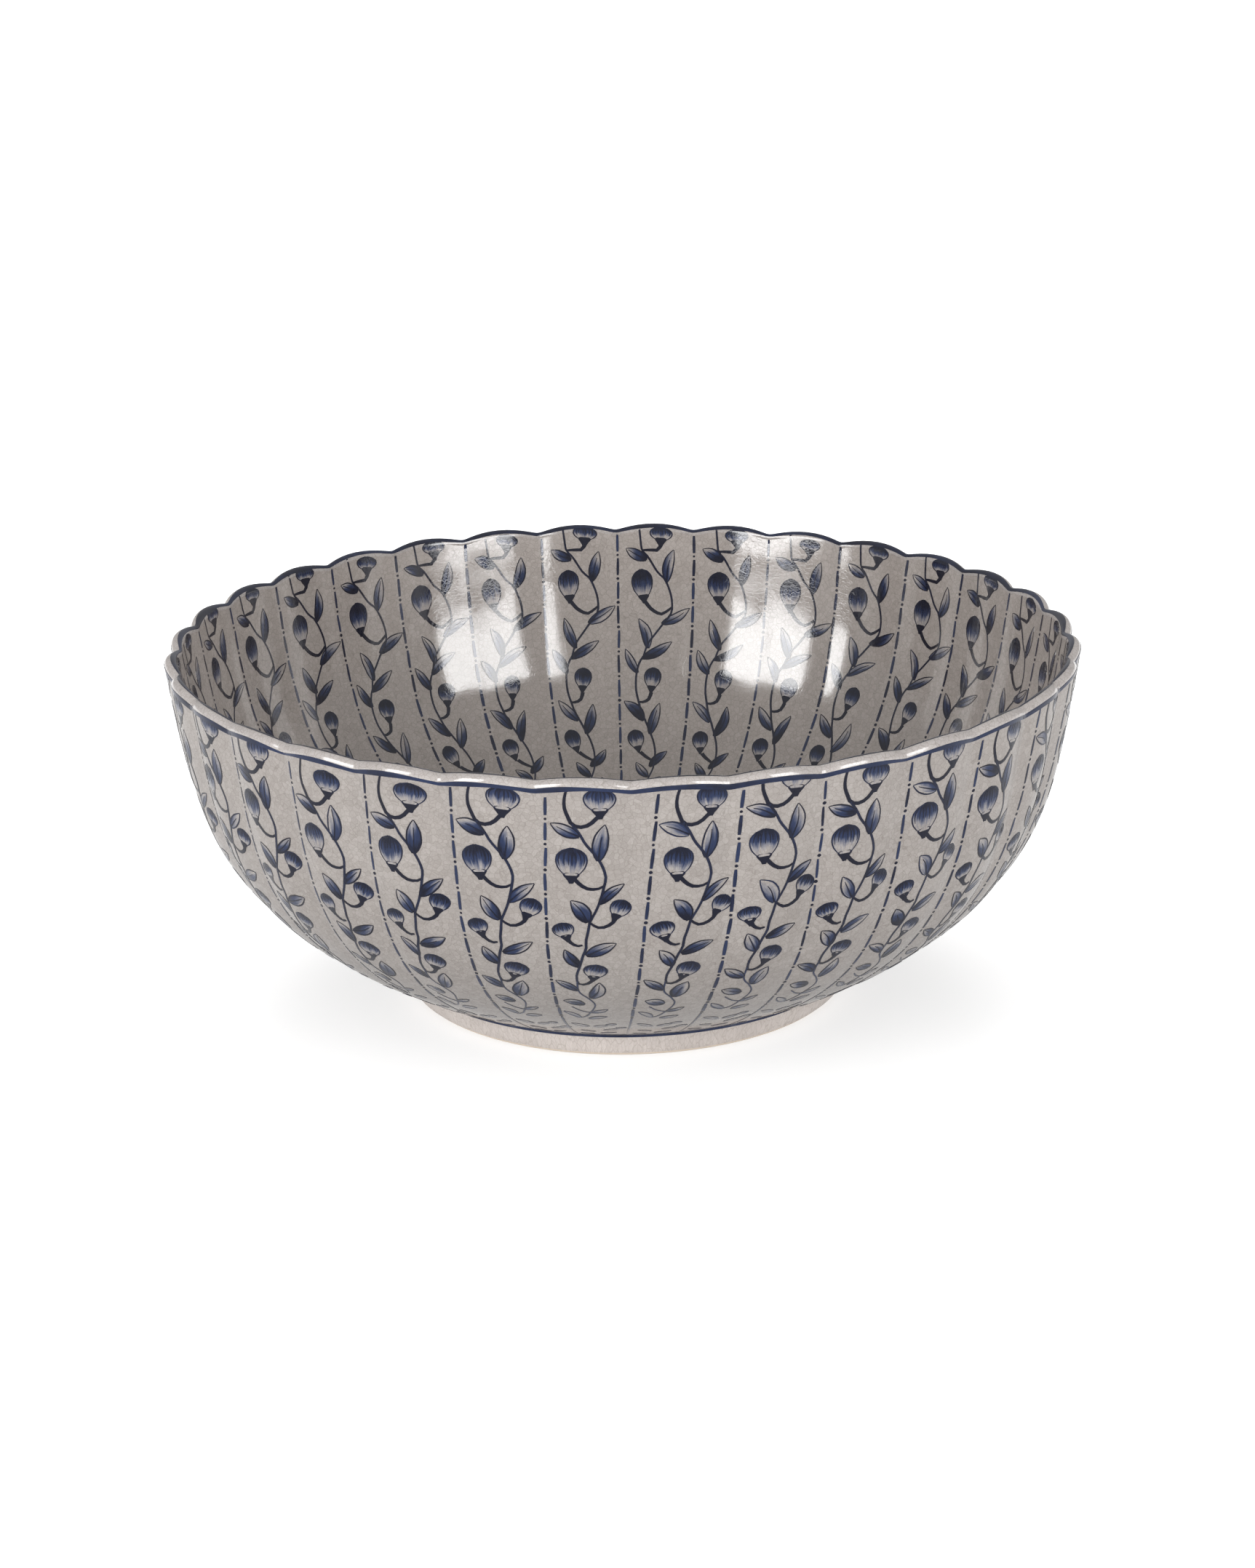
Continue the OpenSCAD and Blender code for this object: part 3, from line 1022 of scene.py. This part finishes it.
def paint_wall(wall, name, seed, vine, hand):
    dice = random.Random(seed)
    vines, lines = Painter(seed + 1, hand), Painter(seed + 2)
    for index in range(FLUTES):
        lean = dice.uniform(0.3, 2.2)
        low = dice.uniform(-0.9, 0.4)
        lift = dice.uniform(-2.0, 2.5)
        if wall is OUTSIDE:
            lean = FRONT_LEANS.get(index, lean)
            low = FRONT_LOW_LEANS.get(index, low)
            lift = FRONT_RAISES.get(index, lift)
        else:
            lean, low, lift = lean * 0.2, low * 0.3, lift * 0.4
        groove = index * PITCH
        panel = Panel(wall, groove, lean * wall.turn, low * wall.turn, lift)
        line_panel = Panel(wall, groove, lean * wall.turn, low * wall.turn, 0)
        paint_vine(vines, panel, vine)
        paint_line(lines, line_panel, dice.uniform(*hand["line_start"]), wall.length, hand["line_width"])
    vines.fills.make(f"vine_washes_{name}", wash_paint[name])
    vines.lines.make(f"vine_linework_{name}", line_paint[name])
    lines.lines.make(f"panel_lines_{name}", line_paint[name])


# Columns across a painted ring: its top, and its underside in the glaze
RING_COLUMNS = 5
RING_LOW_COLUMNS = 2


def paint_ring(name, wall_name, s_middle, half_width, wobble, wash, seed):
    """A painted line all round the bowl, thicker and thinner as the brush was loaded."""
    dice = random.Random(seed)
    waves = [(dice.randint(5, 40), dice.uniform(0, 6.28), dice.uniform(0.3, 1)) for _ in range(8)]
    turn = np.radians(ANGLES)
    swell = sum(size * np.sin(n * turn + phase) for n, phase, size in waves) / 2.6
    widths = half_width * (1 + wobble * swell)
    v = np.linspace(-1, 1, RING_COLUMNS)
    ring = Paint()
    top_s = s_middle + widths[:, None] * v[None, :]
    low_s = top_s[:, [0, -1]]
    for s, height in ((top_s, RIM_LIFT), (low_s, Paint.SUNK)):
        columns = s.shape[1]
        ring.angle.append(np.repeat(ANGLES, columns))
        ring.s.append(s.ravel())
        ring.lift.append(np.full(s.size, height))
        ring.wash.append(np.repeat(wash * (0.9 + 0.12 * swell), columns))
        across = np.broadcast_to(v[:columns] * 1.5, s.shape)
        along = np.broadcast_to(turn[:, None] * 20, s.shape)
        ring.brush.append(np.stack([across, along, across * 0], -1).reshape(-1, 3))
    ring.faces += ring_faces(len(ANGLES))
    ring.make(name, line_paint[wall_name])


def ring_faces(count):
    """Faces of a painted ring: its top, its two edges and its underside."""
    here = np.arange(count)
    following = (here + 1) % count
    left, next_left = here * RING_COLUMNS, following * RING_COLUMNS
    right, next_right = left + RING_COLUMNS - 1, next_left + RING_COLUMNS - 1
    under = count * RING_COLUMNS
    low, next_low = under + here * RING_LOW_COLUMNS, under + following * RING_LOW_COLUMNS
    quads = [[left + j, next_left + j, next_left + j + 1, left + j + 1] for j in range(RING_COLUMNS - 1)]
    quads.append([next_left, left, low, next_low])
    quads.append([right, next_right, next_low + 1, low + 1])
    quads.append([low, low + 1, next_low + 1, next_low])
    return [face for quad in quads for face in np.stack(quad, axis=1).tolist()]


FOOT_LINE_HEIGHT = 0.95
FOOT_LINE_LIFT = 0.06
FOOT_LINE_SUNK = 0.1


def paint_foot_line():
    """The line round the top of the foot, just under the wall."""
    low = FOOT_H - FOOT_LINE_HEIGHT
    low_r = foot_side_r(low)
    rows = plain_rows([
        [low_r - FOOT_LINE_SUNK, low],
        [low_r + FOOT_LINE_LIFT, low],
        [FOOT_R + FOOT_LINE_LIFT, FOOT_H],
        [FOOT_R - FOOT_LINE_SUNK, FOOT_H],
    ])
    vertices, faces = swept_mesh(rows, ROUND_ANGLES)
    piece = new_object("foot_line", vertices, faces, line_paint["outside"])
    piece.data.set_sharp_from_angle(angle=SHARP_EDGE)
    turn = np.tile(np.radians(ROUND_ANGLES), len(rows))
    wash = 0.62 + 0.08 * np.sin(7 * turn) + 0.06 * np.sin(19 * turn + 1)
    brush = np.stack([turn * 20, turn * 0, turn * 0], axis=-1)
    lay_colour(piece.data, wash, brush)


paint_wall(OUTSIDE, "outside", 3, OUTSIDE_VINE, OUTSIDE_HAND)
paint_wall(INSIDE, "inside", 11, INSIDE_VINE, INSIDE_HAND)
paint_ring("rim_line_outside", "outside", RIM_OUT - 0.3, 0.78, 0.35, 0.84, 21)
paint_ring("rim_line_inside", "inside", RIM_OUT + 5.2, 1.15, 0.3, 0.95, 22)
paint_foot_line()
paint_ring("floor_line", "inside", HEEL_IN - 0.5, 0.7, 0.3, 0.7, 24)


# ---------------------------------------------------------------- camera, floor and light
CAMERA_AZIMUTH = math.radians(-90.8)
CAMERA_ELEVATION = math.radians(18.5)
CAMERA_ROLL = math.radians(-0.9)
CAMERA_DISTANCE = 1.35
CAMERA_TARGET = Vector((0.001, 0.0, 0.0745))


def direction(azimuth, elevation):
    """The unit vector at an azimuth, anticlockwise from +X seen from above, and an elevation."""
    return Vector((
        math.cos(elevation) * math.cos(azimuth),
        math.cos(elevation) * math.sin(azimuth),
        math.sin(elevation),
    ))


def make_camera():
    """Aimed at a point beside the bowl's axis, with a slight roll."""
    data = bpy.data.cameras.new("camera")
    data.sensor_fit = "HORIZONTAL"
    data.sensor_width = 36
    data.lens = 105.5
    camera = bpy.data.objects.new("camera", data)
    bpy.context.scene.collection.objects.link(camera)
    away = direction(CAMERA_AZIMUTH, CAMERA_ELEVATION)
    aim = (-away).to_track_quat("-Z", "Y").to_matrix() @ Matrix.Rotation(CAMERA_ROLL, 3, "Z")
    place = Matrix.Translation(CAMERA_TARGET + away * CAMERA_DISTANCE)
    camera.matrix_world = place @ aim.to_4x4()
    bpy.context.scene.camera = camera


# Half the floor's side, in metres. It lies just under the foot, so that the two don't coincide.
FLOOR_HALF = 9.0
FLOOR_Z = -0.1 * MM


def make_floor():
    """A plain floor that glows a little, more so further from the bowl, and looks white."""
    data = bpy.data.meshes.new("floor")
    corners = [(-1, -1), (1, -1), (1, 1), (-1, 1)]
    data.from_pydata([(x * FLOOR_HALF, y * FLOOR_HALF, FLOOR_Z) for x, y in corners], [], [(0, 1, 2, 3)])
    floor = bpy.data.objects.new("floor", data)
    bpy.context.scene.collection.objects.link(floor)
    shader = Shader("pale_floor")
    shade = shader.mix(shader.noise(2, 2.0).outputs["Fac"], srgb(196, 196, 196), srgb(190, 190, 190))
    shader.plug(shader.surface.inputs["Base Color"], shade)
    distance = shader.nodes.new("ShaderNodeVectorMath")
    distance.operation = "LENGTH"
    shader.links.new(shader.place, distance.inputs[0])
    lit = shader.remap(distance.outputs["Value"], 0.2, 1.1, 0.20, 0.85)
    seen = shader.remap(distance.outputs["Value"], 0.06, 0.5, 0.55, 0.95)
    by_camera = shader.nodes.new("ShaderNodeLightPath").outputs["Is Camera Ray"]
    glow = shader.math("MAXIMUM", lit, shader.math("MULTIPLY", seen, by_camera))
    shader.surface.inputs["Emission Color"].default_value = (1, 1, 1, 1)
    shader.plug(shader.surface.inputs["Emission Strength"], glow)
    data.materials.append(shader.finish(roughness=0.8))


LIT_POINT = Vector((0, 0, 0.08))
# The front of the view, from which the softboxes' angles are counted
FRONT = -90


def area_light(name, azimuth, elevation, distance, width, height, power):
    """A softbox that faces the bowl, in degrees, metres and watts."""
    data = bpy.data.lights.new(name, "AREA")
    data.shape = "RECTANGLE"
    data.size = width
    data.size_y = height
    data.energy = power
    light = bpy.data.objects.new(name, data)
    away = direction(math.radians(azimuth), math.radians(elevation))
    light.location = LIT_POINT + away * distance
    light.rotation_euler = (-away).to_track_quat("-Z", "Y").to_euler()
    light.visible_camera = False
    bpy.context.scene.collection.objects.link(light)
    return light


# The world is dimmer as a light than as the backdrop that the camera sees
WORLD_LIGHT = 0.40
WORLD_SEEN = 1.0


def make_light():
    area_light("softbox_right", FRONT + 40.5, 16.5, 1.7, 0.84, 1.1, 24)
    area_light("softbox_left", FRONT - 48.5, 16.5, 1.7, 0.84, 1.1, 28)
    back = area_light("softbox_back", FRONT + 180, 42, 2.0, 1.5, 1.0, 30)
    back.visible_glossy = False
    world = bpy.data.worlds.new("studio")
    world.use_nodes = True
    nodes, links = world.node_tree.nodes, world.node_tree.links
    background = nodes["Background"]
    background.inputs["Color"].default_value = (1.0, 0.995, 0.99, 1.0)
    seen = nodes.new("ShaderNodeLightPath").outputs["Is Camera Ray"]
    strength = nodes.new("ShaderNodeMapRange")
    links.new(seen, strength.inputs["Value"])
    strength.inputs["To Min"].default_value = WORLD_LIGHT
    strength.inputs["To Max"].default_value = WORLD_SEEN
    links.new(strength.outputs["Result"], background.inputs["Strength"])
    bpy.context.scene.world = world


make_camera()
make_floor()
make_light()
bpy.context.scene.view_settings.view_transform = "Standard"

bpy.context.view_layer.update()
